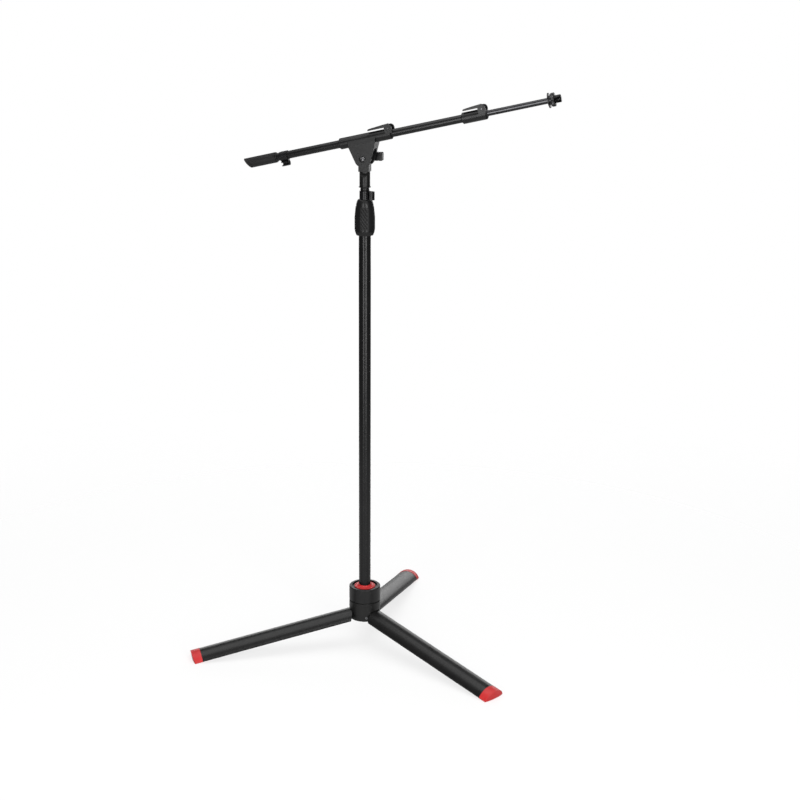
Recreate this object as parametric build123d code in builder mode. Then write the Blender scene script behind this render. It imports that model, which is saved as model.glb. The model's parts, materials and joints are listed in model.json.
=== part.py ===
"""Boom microphone stand: folding tripod base, telescoping mast and telescoping boom.

Millimetres, +Z up. The origin is on the floor, on the mast's axis. The boom points along +X,
its tilt pivot lies along Y, and the three legs stand at 120 degrees from each other.
"""
import os
from math import cos, radians, sin

from build123d import *

os.makedirs("parts", exist_ok=True)

# ---------------------------------------------------------------- driving dimensions
GAP = 0.3  # clearance between pieces that move past each other
RUN = 0.05  # radial clearance of a running fit

# hub
HUB_R = 34.2
HUB_Z = 61.6  # underside of the hub above the floor
HOUSING_H = 41.5
COLLAR_H = 32.6
HUB_EDGE = 1.2
CORE_R = 20.0
SEAT_R = 28.0  # recess in the collar's top
SEAT_DEPTH = 3.0
RING_R = 23.0
RING_H = 6.5
SCREW_AZIMUTHS = (-67.0, 53.0, 173.0)

# legs
LEG_AZIMUTHS = {"right": -30.0, "left": 210.0, "rear": 90.0}
LEG_REACH = 386.7  # horizontal distance from the mast's axis to the end of the foot
LEG_SLOPE = 10.3  # degrees below horizontal when open
LEG_HALF_W = 26.3
LEG_CROWN = 15.0  # crown of the arch above the hinge line
LEG_H = 18.5
LEG_WALL = 2.2
RIM_H = 2.6
RIM_STEP = 0.6
RIM_ROOT_U = 19.5  # hinge to the root end of the leg shell, at its rims
CROWN_ROOT_U = 9.5  # and at its crown, so that the root end leans in over the hub
CAP_L = 20.0
CAP_OVER = 0.5
HINGE_R = HUB_R - LEG_CROWN
KNUCKLE_R = 7.0
KNUCKLE_W = 20.0
PIN_R = 3.0
PIN_L = 46.0
ROOT_BLOCK = 18.0  # length of the knuckle's block inside the shell
ROOT_INSET = 0.6  # how far the block stays inside the shell's root end
POCKET_HALF_W = 13.0  # pocket in the hub that clears the crown of each leg
CAP_PLUG = 12.0
SOLE_T = 1.5
SOLE_HALF_W = 20.0
END_BOW = 2.5

# mast
POLE_R = 12.7
POLE_WALL = 1.5
POLE_Z0 = 87.0
POLE_Z1 = 962.0
CLUTCH_Z = 917.5
CLUTCH_BASE_H = 10.0
GRIP_R = 20.75
GRIP_TOP_R = 14.5
GRIP_Z1 = 991.7
GRIP_PANELS = 4
GRIP_PANEL_ANGLE = 48.0
GRIP_PANEL_FIRST = -79.0
GRIP_PANEL_Z0, GRIP_PANEL_Z1 = 929.5, 977.0
MAST_R = 9.0
MAST_WALL = 1.2
MAST_Z0 = 330.0
MAST_Z1 = 1009.6
GUIDE_H = 25.0

# head
FLANGE_Z = 1016.2
NECK_Z0 = 1018.5
NECK_Z1 = 1049.0
NECK_R = 11.15
TONGUE_T = 19.2
PIVOT_Z = 1076.0
BOOM_RISE = 38.0  # pivot axis to boom axis
BOOM_TILT = 13.0  # degrees
BOSS_R = 17.2
CHEEK_OUT = 18.0
CHEEK_TOP = -7.5
SHOULDER_S0, SHOULDER_S1 = -24.0, 34.0
SHOULDER_H0 = 1.5
CHEEK_IN = 11.5
BOLT_R = 4.0
BOLT_END_Y = 36.0
TONGUE_R = 13.5
STUD_L = 30.0
SCOOP_Z = 1046.3
SCOOP_R = 9.5
SCOOP_FLOOR_Y = -6.2
RECESS_R = 7.2
RECESS_DEPTH = 4.6
HEAD_R = 5.0  # head of the pivot bolt
HEAD_H = 3.0
MAST_CLIP_AZIMUTH = -31.0

# boom
BOOM_R = 8.1
BOOM_WALL = 1.3
BOOM_S0, BOOM_S1 = -240.0, 244.0
SHELL_R = 11.4
SHELL_EDGE = 2.0
SEAM_H = 5.4  # lengthwise seam between the barrel's ridge and its sides
SEAM_W = 2.4
SEAM_Y = 8.8
SLEEVE_R = 9.2
BORE_L = 150.0  # longer than either clutch, so that the bore runs right through
BRACKET_S0, BRACKET_S1 = -45.5, 68.0
BRACKET_CAM_S, BRACKET_LEVER_S = 64.0, 20.5
CLUTCH_S0, CLUTCH_S1 = 216.5, 268.5
CLUTCH_CAM_S, CLUTCH_LEVER_S = 261.0, 222.0
BOOM_CLIP_S = -178.0
BOOM_GRIP_S0, BOOM_GRIP_S1 = -258.0, -187.5
BOOM_GRIP_R = 10.8
BOOM_GRIP_SLANT = 13.0
ARM_R = 5.8
ARM_WALL = 1.1
ARM_S0, ARM_S1 = -110.0, 393.2
FLANGE_R = 15.0
FLANGE_T = 2.5
MIC_RING_S0 = 399.0
MIC_RING_T = 7.6
MIC_RING_R = 13.6
THREAD_R = 7.9375  # 5/8 inch microphone thread
THREAD_S0, THREAD_S1 = 409.0, 418.5  # free end that takes a microphone clip
THREAD_STEP = 0.2

# tilt handle
HANDLE_HUB_R = 10.5
HANDLE_BAR_L = 57.0
HANDLE_BAR_H = 17.5
HANDLE_TIP_L = 8.5
HANDLE_GROOVE_W = 1.6
HANDLE_Y0, HANDLE_Y1, HANDLE_Y2 = 18.4, 30.0, 43.0

# cable clips
CLIP_L = 17.0
CLIP_WALL = 2.2
MAST_HOOK_R = 6.0
BOOM_HOOK_R = 4.0
HOOK_WALL = 1.8
CLIP_MERGE = 0.6  # overlap of the ring and its hook
RING_MOUTH = 1.1  # width of the ring's mouth, in tube radii
HOOK_MOUTH = 5.0

# cam levers of the two boom clutches
CAM_R = 2.9
CAM_H = 11.4  # cam axis above the boom axis
CAM_PIN_R = 1.3
CAM_CLEAR = 0.7  # room under the cam
LEVER_RISE = 9.4  # top of the lever above the cam axis
LEVER_TIP_H = 17.0
LEVER_UNDER_H = 14.4  # the lever stands clear of the barrel, for a fingertip
RIB_SPAN = 0.6  # share of the lever's length that is ribbed
RIBS = 7
RIB_GROOVE_W, RIB_GROOVE_D = 1.2, 0.8
LEVER_W = 18.0
EAR_T = 3.2
EAR_R = 8.0
EAR_FOOT = 1.5  # lowest edge of the ears above the boom axis
EAR_BOSS_R = 5.0
EAR_BOSS_T = 0.7


def save(piece, node):
    """Label a finished piece and write it as its own STEP file."""
    piece.part.label = node
    export_step(piece.part, f"parts/{node}.step")


def ring(node, z0, z1, r_out, r_in=0.0, edge=0.0):
    """A plain upright ring or disc on the mast's axis."""
    with BuildPart() as piece:
        with BuildSketch(Plane.XY.offset(z0)):
            Circle(r_out)
            if r_in:
                Circle(r_in, mode=Mode.SUBTRACT)
        extrude(amount=z1 - z0)
        if edge:
            outer = piece.edges().filter_by(GeomType.CIRCLE).group_by(SortBy.RADIUS)[-1]
            chamfer(outer, edge)
    save(piece, node)
    return piece


# ---------------------------------------------------------------- hub
housing_top = HUB_Z + HOUSING_H
collar_z0 = housing_top + GAP + 0.3
collar_top = collar_z0 + COLLAR_H
seat_z = collar_top - SEAT_DEPTH
core_top = seat_z - 0.5

slope = radians(LEG_SLOPE)
leg_bottom = LEG_CROWN - LEG_H
# distance along the leg from the hinge to the tip, and the hinge's height, so that the
# lower edge of the tip meets the floor at the chosen reach
LEG_L = (LEG_REACH - HINGE_R - leg_bottom * sin(slope)) / cos(slope)
HINGE_Z = LEG_L * sin(slope) - leg_bottom * cos(slope)


def leg_frame(azimuth, u=0.0):
    """Plane across a leg at distance u from its hinge: local X lateral, local Y towards the crown."""
    a = radians(azimuth)
    out = Vector(cos(a) * cos(slope), sin(a) * cos(slope), -sin(slope))
    hinge = Vector(HINGE_R * cos(a), HINGE_R * sin(a), HINGE_Z)
    return Plane(origin=hinge + out * u, x_dir=(-sin(a), cos(a), 0), z_dir=out)


def leg_side(azimuth):
    """Lengthwise plane through a leg's middle: local X along the leg, local Y towards the crown."""
    a = radians(azimuth)
    across = leg_frame(azimuth)
    return Plane(origin=across.origin, x_dir=across.z_dir, z_dir=(sin(a), -cos(a), 0))


def upright_side(azimuth, radius=0.0, z=0.0):
    """Upright plane through the mast's axis: local X outward, local Y up."""
    a = radians(azimuth)
    origin = (radius * cos(a), radius * sin(a), z)
    return Plane(origin=origin, x_dir=(cos(a), sin(a), 0), z_dir=(sin(a), -cos(a), 0))


crown_reach = (CROWN_ROOT_U**2 + LEG_CROWN**2) ** 0.5  # hinge to the crown's root edge
root_clear_r = crown_reach - LEG_WALL - GAP  # the hub keeps inside this radius from the hinge
pocket_top = LEG_CROWN * cos(slope) - CROWN_ROOT_U * sin(slope) + 2 * GAP

SLOT_W = KNUCKLE_W + 2 * GAP
SLOT_TOP = HINGE_Z + KNUCKLE_R + GAP
SLOT_R0 = HINGE_R - KNUCKLE_R - 1.0

with BuildPart() as hub_housing:
    with BuildSketch(Plane.XY.offset(HUB_Z)):
        Circle(HUB_R)
    extrude(amount=HOUSING_H)
    chamfer(hub_housing.edges().group_by(Axis.Z)[-1], HUB_EDGE)
    chamfer(hub_housing.edges().group_by(Axis.Z)[0], HUB_EDGE)
    with BuildSketch(Plane.XY.offset(housing_top)):
        Circle(CORE_R)
    extrude(amount=core_top - housing_top)
    # socket for the pole
    with BuildSketch(Plane.XY.offset(POLE_Z0)):
        Circle(POLE_R + RUN)
    extrude(amount=core_top - POLE_Z0 + 1, mode=Mode.SUBTRACT)
    # slots, open downwards, for the leg knuckles, and the drilled pin holes
    for azimuth in LEG_AZIMUTHS.values():
        with BuildSketch(upright_side(azimuth)):
            with BuildLine():
                Polyline(
                    (SLOT_R0, HUB_Z - 1), (SLOT_R0, SLOT_TOP), (HUB_R + 1, SLOT_TOP),
                    (HUB_R + 1, HUB_Z - 1), close=True,
                )
            make_face()
        extrude(amount=SLOT_W / 2, both=True, mode=Mode.SUBTRACT)
        with BuildSketch(upright_side(azimuth, HINGE_R, HINGE_Z)):
            Circle(PIN_R)
        extrude(amount=PIN_L / 2, both=True, mode=Mode.SUBTRACT)
        # pocket that the crown of the leg's root swings through
        with BuildSketch(upright_side(azimuth, HINGE_R, HINGE_Z)):
            with Locations((crown_reach, (pocket_top - crown_reach) / 2)):
                Rectangle(2 * crown_reach, crown_reach + pocket_top)
            Circle(root_clear_r, mode=Mode.SUBTRACT)
        extrude(amount=POCKET_HALF_W, both=True, mode=Mode.SUBTRACT)
    # sockets of the clamp screws
    for azimuth in SCREW_AZIMUTHS:
        a = radians(azimuth)
        face = Plane(origin=(HUB_R * cos(a), HUB_R * sin(a), HINGE_Z), z_dir=(cos(a), sin(a), 0))
        with BuildSketch(face):
            Circle(3.2)
        extrude(amount=-4.0, mode=Mode.SUBTRACT)
save(hub_housing, "hub_housing")


with BuildPart() as hub_screws:
    for azimuth in SCREW_AZIMUTHS:
        a = radians(azimuth)
        seat = HUB_R - 4.0
        face = Plane(origin=(seat * cos(a), seat * sin(a), HINGE_Z), z_dir=(cos(a), sin(a), 0))
        with BuildSketch(face):
            Circle(3.0)
        extrude(amount=3.4)
        with BuildSketch(face.offset(2.2)):
            RegularPolygon(1.6, 6)
        extrude(amount=2.0, mode=Mode.SUBTRACT)
save(hub_screws, "hub_screws")

with BuildPart() as leg_pins:
    for azimuth in LEG_AZIMUTHS.values():
        with BuildSketch(upright_side(azimuth, HINGE_R, HINGE_Z)):
            Circle(PIN_R - 0.02)
        extrude(amount=PIN_L / 2 - 0.5, both=True)
save(leg_pins, "leg_pins")

with BuildPart() as lock_collar:
    with BuildSketch(Plane.XY.offset(collar_z0)):
        Circle(HUB_R)
        Circle(CORE_R + GAP, mode=Mode.SUBTRACT)
    extrude(amount=COLLAR_H)
    with BuildSketch(Plane.XY.offset(seat_z)):
        Circle(SEAT_R)
    extrude(amount=SEAT_DEPTH + 1, mode=Mode.SUBTRACT)
    rims = lock_collar.edges().filter_by(GeomType.CIRCLE).filter_by(lambda e: abs(e.radius - HUB_R) < 0.01)
    chamfer(rims, HUB_EDGE)
save(lock_collar, "lock_collar")

ring_z0 = seat_z + GAP
with BuildPart() as hub_ring:
    with BuildSketch(Plane.XZ):
        with BuildLine():
            Polyline(
                (POLE_R + 0.1, core_top), (CORE_R - 0.2, core_top), (CORE_R - 0.2, ring_z0),
                (RING_R - 0.8, ring_z0), (RING_R, ring_z0 + 0.8), (RING_R, ring_z0 + 3.4),
                (RING_R - 0.8, ring_z0 + 4.2), (RING_R - 3.0, ring_z0 + 4.2),
                (POLE_R + 2.6, core_top + RING_H), (POLE_R + 0.1, core_top + RING_H), close=True,
            )
        make_face()
    revolve(axis=Axis.Z)
save(hub_ring, "hub_ring")


# ---------------------------------------------------------------- legs
def arch(half_w, rim_top, crown, bottom, step):
    """Outline of a leg section: an arch standing on two upright rims."""
    with BuildLine() as line:
        left = Polyline((-half_w, bottom), (-half_w, rim_top), (step - half_w, rim_top + step))
        top = ThreePointArc(left @ 1, (0, crown), (half_w - step, rim_top + step))
        right = Polyline(top @ 1, (half_w, rim_top), (half_w, bottom))
        Line(right @ 1, left @ 0)
    make_face(line.edges())


rim_top = leg_bottom + RIM_H
inner_half_w = LEG_HALF_W - RIM_STEP - LEG_WALL
shell_end = LEG_L - CAP_L
root_lean = (RIM_ROOT_U - CROWN_ROOT_U) / LEG_H  # how the root end leans towards the hub


def root_wedge(azimuth, inset):
    """Everything on the hub's side of the leaning root end of a leg."""
    low, high = -LEG_REACH, LEG_REACH
    rim_u = RIM_ROOT_U + inset
    with BuildPart() as wedge:
        with BuildSketch(leg_side(azimuth)):
            with BuildLine():
                Polyline(
                    (rim_u - (low - leg_bottom) * root_lean, low),
                    (rim_u - (high - leg_bottom) * root_lean, high),
                    (-LEG_REACH, high), (-LEG_REACH, low), close=True,
                )
            make_face()
        extrude(amount=2 * LEG_HALF_W, both=True)
    return wedge.part


def make_leg(name, azimuth):
    """Leg shell, its knuckle with the hinge barrel, and the rubber foot."""
    with BuildPart() as shell:
        with BuildSketch(leg_frame(azimuth, CROWN_ROOT_U)):
            arch(LEG_HALF_W, rim_top, LEG_CROWN, leg_bottom, RIM_STEP)
            with BuildSketch(mode=Mode.PRIVATE) as hollow:
                arch(inner_half_w, rim_top, LEG_CROWN - LEG_WALL, leg_bottom - 1, 0.01)
            add(hollow.sketch, mode=Mode.SUBTRACT)
        extrude(amount=shell_end - CROWN_ROOT_U)
        add(root_wedge(azimuth, 0.0), mode=Mode.SUBTRACT)
    save(shell, f"leg_{name}_shell")

    with BuildPart() as knuckle:
        with BuildSketch(leg_frame(azimuth, CROWN_ROOT_U)):
            arch(inner_half_w - 0.1, rim_top, LEG_CROWN - LEG_WALL - 0.1, leg_bottom + 0.4, 0.01)
        extrude(amount=RIM_ROOT_U - CROWN_ROOT_U + ROOT_BLOCK)
        add(root_wedge(azimuth, ROOT_INSET), mode=Mode.SUBTRACT)
        with BuildSketch(leg_side(azimuth)):
            with Locations((RIM_ROOT_U / 2 + 1, 0.5)):
                Rectangle(RIM_ROOT_U + 2, 2 * KNUCKLE_R - 2)
            Circle(KNUCKLE_R)
        extrude(amount=KNUCKLE_W / 2, both=True)
        with BuildSketch(leg_side(azimuth)):
            Circle(PIN_R + RUN)
        extrude(amount=KNUCKLE_W, both=True, mode=Mode.SUBTRACT)
    save(knuckle, f"leg_{name}_knuckle")

    with BuildPart() as foot:
        with BuildSketch(leg_frame(azimuth, shell_end)):
            arch(LEG_HALF_W + CAP_OVER, rim_top, LEG_CROWN + CAP_OVER, leg_bottom, RIM_STEP)
        extrude(amount=CAP_L)
        with BuildSketch(leg_frame(azimuth, shell_end)):
            with Locations((0, leg_bottom - SOLE_T / 2 + 0.5)):
                Rectangle(2 * SOLE_HALF_W, SOLE_T + 1)
        extrude(amount=CAP_L)
        with BuildSketch(leg_frame(azimuth, shell_end)):
            arch(inner_half_w - 0.1, rim_top, LEG_CROWN - LEG_WALL - 0.1, leg_bottom + 0.4, 0.01)
        extrude(amount=-CAP_PLUG)
        # the end face bows outwards in plan
        across = leg_frame(azimuth)
        plan = Plane(origin=across.origin, x_dir=across.z_dir, z_dir=across.y_dir)
        with BuildSketch(plan):
            with BuildLine():
                back = Polyline(
                    (LEG_L - END_BOW, 2 * LEG_HALF_W), (0, 2 * LEG_HALF_W),
                    (0, -2 * LEG_HALF_W), (LEG_L - END_BOW, -2 * LEG_HALF_W),
                    (LEG_L - END_BOW, -LEG_HALF_W),
                )
                bow = ThreePointArc(back @ 1, (LEG_L, 0), (LEG_L - END_BOW, LEG_HALF_W))
                Line(bow @ 1, back @ 0)
            make_face()
        extrude(amount=2 * LEG_HALF_W, both=True, mode=Mode.INTERSECT)
        # flat sole on the floor
        with BuildSketch(Plane.XY):
            Circle(2 * LEG_REACH)
        extrude(amount=-4 * SOLE_T, mode=Mode.SUBTRACT)
    save(foot, f"leg_{name}_foot")


for leg_name, leg_azimuth in LEG_AZIMUTHS.items():
    make_leg(leg_name, leg_azimuth)

# ---------------------------------------------------------------- mast
ring("pole", POLE_Z0, POLE_Z1, POLE_R, POLE_R - POLE_WALL)
ring("pole_plug", POLE_Z0, POLE_Z0 + 16, POLE_R - POLE_WALL)

with BuildPart() as clutch_base:
    with BuildSketch(Plane.XZ):
        with BuildLine():
            Polyline(
                (POLE_R, CLUTCH_Z), (GRIP_R - 3.2, CLUTCH_Z), (GRIP_R - 0.1, CLUTCH_Z + 8.2),
                (GRIP_R - 0.1, CLUTCH_Z + CLUTCH_BASE_H), (POLE_R, CLUTCH_Z + CLUTCH_BASE_H), close=True,
            )
        make_face()
    revolve(axis=Axis.Z)
save(clutch_base, "clutch_base")

grip_z0 = CLUTCH_Z + CLUTCH_BASE_H + GAP
grip_inner_r = POLE_R + GAP
grip_mouth_r = MAST_R + GAP
grip_lid_z = GRIP_Z1 - 8.5
GRIP_WAIST_Z = 955.0


with BuildPart() as clutch_grip:
    with BuildSketch(Plane.XZ):
        with BuildLine():
            Line((GRIP_R, grip_z0), (GRIP_R, GRIP_WAIST_Z))
            side = Spline(
                (GRIP_R, GRIP_WAIST_Z), (GRIP_R - 1.7, 972.0), (GRIP_TOP_R + 1.6, 988.0),
                tangents=[(0, 1), (-0.5, 1)],
            )
            shoulder = RadiusArc(side @ 1, (GRIP_TOP_R - 1.6, GRIP_Z1), -4.5)
            Polyline(
                shoulder @ 1, (grip_mouth_r, GRIP_Z1), (grip_mouth_r, grip_lid_z),
                (grip_inner_r, grip_lid_z), (grip_inner_r, grip_z0), (GRIP_R, grip_z0),
            )
        make_face()
    revolve(axis=Axis.Z)
    # shallow seats for the four ribbed panels
    for k in range(GRIP_PANELS):
        first = GRIP_PANEL_FIRST - GRIP_PANEL_ANGLE / 2 + 360 * k / GRIP_PANELS
        with BuildSketch(upright_side(first)):
            with BuildLine():
                low = Line((GRIP_R - 0.8, GRIP_PANEL_Z0), (GRIP_R - 0.8, GRIP_WAIST_Z))
                high = Line(low @ 1, (GRIP_R - 3.0, GRIP_PANEL_Z1))
                Polyline(high @ 1, (GRIP_R + 2, GRIP_PANEL_Z1), (GRIP_R + 2, GRIP_PANEL_Z0), low @ 0)
            make_face()
        revolve(axis=Axis.Z, revolution_arc=GRIP_PANEL_ANGLE, mode=Mode.SUBTRACT)
save(clutch_grip, "clutch_grip")

with BuildPart() as clutch_grip_pads:
    for k in range(GRIP_PANELS):
        first = GRIP_PANEL_FIRST - GRIP_PANEL_ANGLE / 2 + 360 * k / GRIP_PANELS
        with BuildSketch(upright_side(first)):
            with BuildLine():
                low = Line((GRIP_R - 0.8, GRIP_PANEL_Z0), (GRIP_R - 0.8, GRIP_WAIST_Z))
                high = Line(low @ 1, (GRIP_R - 3.0, GRIP_PANEL_Z1))
                Polyline(
                    high @ 1, (GRIP_R - 1.7, GRIP_PANEL_Z1), (GRIP_R + 0.5, GRIP_WAIST_Z),
                    (GRIP_R + 0.5, GRIP_PANEL_Z0), low @ 0,
                )
            make_face()
        revolve(axis=Axis.Z, revolution_arc=GRIP_PANEL_ANGLE)
save(clutch_grip_pads, "clutch_grip_pads")

with BuildPart() as clutch_collet:
    with BuildSketch(Plane.XZ):
        with BuildLine():
            Polyline(
                (MAST_R + RUN, POLE_Z1 - 22), (POLE_R - POLE_WALL, POLE_Z1 - 22),
                (POLE_R - POLE_WALL, POLE_Z1),
                (POLE_R - 0.1, POLE_Z1), (POLE_R - 0.1, POLE_Z1 + 6), (MAST_R + 1.4, grip_lid_z - 1.5),
                (MAST_R + RUN, grip_lid_z - 1.5), close=True,
            )
        make_face()
    revolve(axis=Axis.Z)
save(clutch_collet, "clutch_collet")

ring("mast_tube", MAST_Z0, MAST_Z1, MAST_R, MAST_R - MAST_WALL)
ring("mast_guide", MAST_Z0, MAST_Z0 + GUIDE_H, POLE_R - POLE_WALL - RUN, MAST_R)

with BuildPart() as mast_socket:
    with BuildSketch(Plane.XY.offset(MAST_Z1 - 24)):
        Circle(MAST_R - MAST_WALL)
    extrude(amount=24)
    with BuildSketch(Plane.XZ):
        with BuildLine():
            Polyline(
                (0, MAST_Z1), (MAST_R, MAST_Z1), (MAST_R + 0.6, MAST_Z1 + 2.5),
                (MAST_R - 0.3, FLANGE_Z), (0, FLANGE_Z), close=True,
            )
        make_face()
    revolve(axis=Axis.Z)
save(mast_socket, "mast_socket")

ring("mast_washer", FLANGE_Z, FLANGE_Z + 2, NECK_R + 1.4, BOLT_R, edge=0.5)
ring("swivel_stud", FLANGE_Z, NECK_Z0 + STUD_L, BOLT_R)


def clip_profile(tube_r, hook_r):
    """Open ring that snaps on a tube, with an open cable hook on its back (local +X)."""
    ring_r = tube_r + CLIP_WALL
    hook_x = ring_r + hook_r + HOOK_WALL - CLIP_MERGE
    Circle(ring_r)
    with Locations((hook_x, 0)):
        Circle(hook_r + HOOK_WALL)
    Circle(tube_r + RUN, mode=Mode.SUBTRACT)
    with Locations((hook_x, 0)):
        Circle(hook_r, mode=Mode.SUBTRACT)
    # mouths: the ring opens away from the hook, the hook opens to one side
    with Locations((-ring_r, 0)):
        Rectangle(4 * CLIP_WALL, RING_MOUTH * tube_r, mode=Mode.SUBTRACT)
    with Locations((hook_x + 0.5, -hook_r - HOOK_WALL)):
        Rectangle(HOOK_MOUTH, 2 * hook_r + 2, mode=Mode.SUBTRACT)


clip_azimuth = radians(MAST_CLIP_AZIMUTH)
with BuildPart() as mast_clip:
    clip_plane = Plane(
        origin=(0, 0, GRIP_Z1 + 0.5), x_dir=(cos(clip_azimuth), sin(clip_azimuth), 0), z_dir=(0, 0, 1)
    )
    with BuildSketch(clip_plane):
        clip_profile(MAST_R, MAST_HOOK_R)
    extrude(amount=CLIP_L)
save(mast_clip, "mast_clip")

# ---------------------------------------------------------------- head
front_side = Plane(origin=(0, 0, PIVOT_Z), x_dir=(1, 0, 0), z_dir=(0, -1, 0))

# half-moon scoop in the neck's front: flat and deep at the top, running out downwards
with BuildPart() as scoop:
    with BuildSketch(front_side):
        with Locations((0, SCOOP_Z - PIVOT_Z)):
            Circle(SCOOP_R)
            with Locations((0, SCOOP_R)):
                Rectangle(2 * SCOOP_R, 2 * SCOOP_R, mode=Mode.SUBTRACT)
    extrude(amount=NECK_R + 1)
    with BuildSketch(Plane.YZ):
        with BuildLine():
            Polyline(
                (SCOOP_FLOOR_Y, SCOOP_Z + 1), (SCOOP_FLOOR_Y, SCOOP_Z - 0.5),
                (-NECK_R, SCOOP_Z - SCOOP_R), (-NECK_R - 2, SCOOP_Z - SCOOP_R),
                (-NECK_R - 2, SCOOP_Z + 1), close=True,
            )
        make_face()
    extrude(amount=2 * SCOOP_R, both=True, mode=Mode.INTERSECT)

with BuildPart() as neck:
    with BuildSketch(Plane.XY.offset(NECK_Z0)):
        Circle(NECK_R)
    extrude(amount=NECK_Z1 - NECK_Z0)
    chamfer(neck.edges().group_by(Axis.Z)[0], 0.6)
    with BuildSketch(front_side):
        with Locations((0, (NECK_Z1 - PIVOT_Z) / 2)):
            Rectangle(2 * NECK_R, PIVOT_Z - NECK_Z1 + 0.02)
        Circle(TONGUE_R)
    extrude(amount=TONGUE_T / 2, both=True)
    with BuildSketch(Plane.XY.offset(NECK_Z0)):
        Circle(BOLT_R + RUN)
    extrude(amount=STUD_L + 1, mode=Mode.SUBTRACT)
    with BuildSketch(front_side):
        Circle(BOLT_R + RUN)
    extrude(amount=TONGUE_T, both=True, mode=Mode.SUBTRACT)
    add(scoop.part, mode=Mode.SUBTRACT)
save(neck, "neck")

# ---------------------------------------------------------------- boom frame
tilt = radians(BOOM_TILT)
boom_dir = Vector(cos(tilt), 0, sin(tilt))
boom_up = Vector(-sin(tilt), 0, cos(tilt))
boom_foot = Vector(0, 0, PIVOT_Z) + boom_up * BOOM_RISE


def boom_across(s):
    """Plane across the boom at distance s from the foot of the pivot: local X is the boom's up."""
    return Plane(origin=boom_foot + boom_dir * s, x_dir=boom_up, z_dir=boom_dir)


def boom_side(y=0.0):
    """Lengthwise plane: local X along the boom, local Y the boom's up, normal towards -Y."""
    return Plane(origin=boom_foot + Vector(0, y, 0), x_dir=boom_dir, z_dir=(0, -1, 0))


def boom_ring(node, s0, s1, r_out, r_in=0.0):
    """A plain tube or disc on the boom's axis."""
    with BuildPart() as piece:
        with BuildSketch(boom_across(s0)):
            Circle(r_out)
            if r_in:
                Circle(r_in, mode=Mode.SUBTRACT)
        extrude(amount=s1 - s0)
    save(piece, node)


def clutch_shell(s0, s1, cam_s, lever_s):
    """Outside of a cam clutch: chamfered barrel, two ears for the cam, flat under the lever."""
    with BuildPart() as shell:
        with BuildSketch(boom_across(s0)):
            Circle(SHELL_R)
        extrude(amount=s1 - s0)
        chamfer(shell.edges().filter_by(GeomType.CIRCLE), SHELL_EDGE)
        with BuildSketch(boom_side()):
            with Locations((cam_s, CAM_H)):
                Circle(EAR_R)
            with Locations((cam_s, EAR_FOOT + 1)):
                Rectangle(2 * EAR_R - 1, 2.0)
            make_hull()
        extrude(amount=LEVER_W / 2 + GAP + EAR_T, both=True)
        with BuildSketch(boom_side()):
            with Locations((cam_s, CAM_H)):
                Circle(EAR_BOSS_R)
        extrude(amount=LEVER_W / 2 + GAP + EAR_T + EAR_BOSS_T, both=True)
        # room for the lever between the ears and over the barrel
        with BuildSketch(boom_side()):
            with Locations(((lever_s + cam_s) / 2 - 1, SHELL_R + 6)):
                Rectangle(cam_s - lever_s + 2, 12)
            with Locations((cam_s + 4, CAM_H + 6)):
                Rectangle(2 * EAR_R + 10, 2 * (6 + CAM_R + CAM_CLEAR))
        extrude(amount=LEVER_W / 2 + GAP, both=True, mode=Mode.SUBTRACT)
        with BuildSketch(boom_side()):
            with Locations((cam_s, CAM_H)):
                Circle(CAM_PIN_R)
        extrude(amount=40, both=True, mode=Mode.SUBTRACT)
    return shell.part


def cam_lever(node, cam_s, lever_s):
    """Thumb lever with its cam barrel, ribbed on top."""
    length = cam_s - lever_s
    top = CAM_H + LEVER_RISE
    with BuildPart() as lever:
        with BuildSketch(boom_side()):
            with BuildLine():
                Polyline(
                    (cam_s, CAM_H), (cam_s + 1.6, CAM_H + 4.6), (cam_s - 0.6, top - 1.4),
                    (cam_s - 3.5, top),
                    (lever_s + RIB_SPAN * length, top - 0.8), (lever_s + 1.5, LEVER_TIP_H + 0.8),
                    (lever_s, LEVER_TIP_H - 0.6), (lever_s, LEVER_UNDER_H),
                    (cam_s - 3 * CAM_R, LEVER_UNDER_H), (cam_s - 2 * CAM_R, SHELL_R + GAP),
                    (cam_s - CAM_R, SHELL_R + GAP), close=True,
                )
            make_face()
            with Locations((cam_s, CAM_H)):
                Circle(CAM_R)
        extrude(amount=LEVER_W / 2, both=True)
        with BuildSketch(boom_side()):
            with Locations((cam_s, CAM_H)):
                Circle(CAM_PIN_R + RUN)
        extrude(amount=LEVER_W, both=True, mode=Mode.SUBTRACT)
        # grooves across the lever leave ribs for the thumb
        ramp_l = RIB_SPAN * length - 1.5
        ramp_h = top - LEVER_TIP_H - 1.6
        with BuildSketch(boom_side()):
            for k in range(1, RIBS + 1):
                share = k / (RIBS + 1)
                with Locations((lever_s + 1.5 + ramp_l * share, LEVER_TIP_H + 0.8 + ramp_h * share)):
                    Rectangle(RIB_GROOVE_W, 2 * RIB_GROOVE_D)
        extrude(amount=LEVER_W, both=True, mode=Mode.SUBTRACT)
    save(lever, node)


def cam_pin(node, cam_s):
    """Pin through the ears and the cam barrel."""
    with BuildPart() as pin:
        with BuildSketch(boom_side()):
            with Locations((cam_s, CAM_H)):
                Circle(CAM_PIN_R - 0.01)
        extrude(amount=LEVER_W / 2 + GAP + EAR_T - 0.3, both=True)
    save(pin, node)


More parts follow.
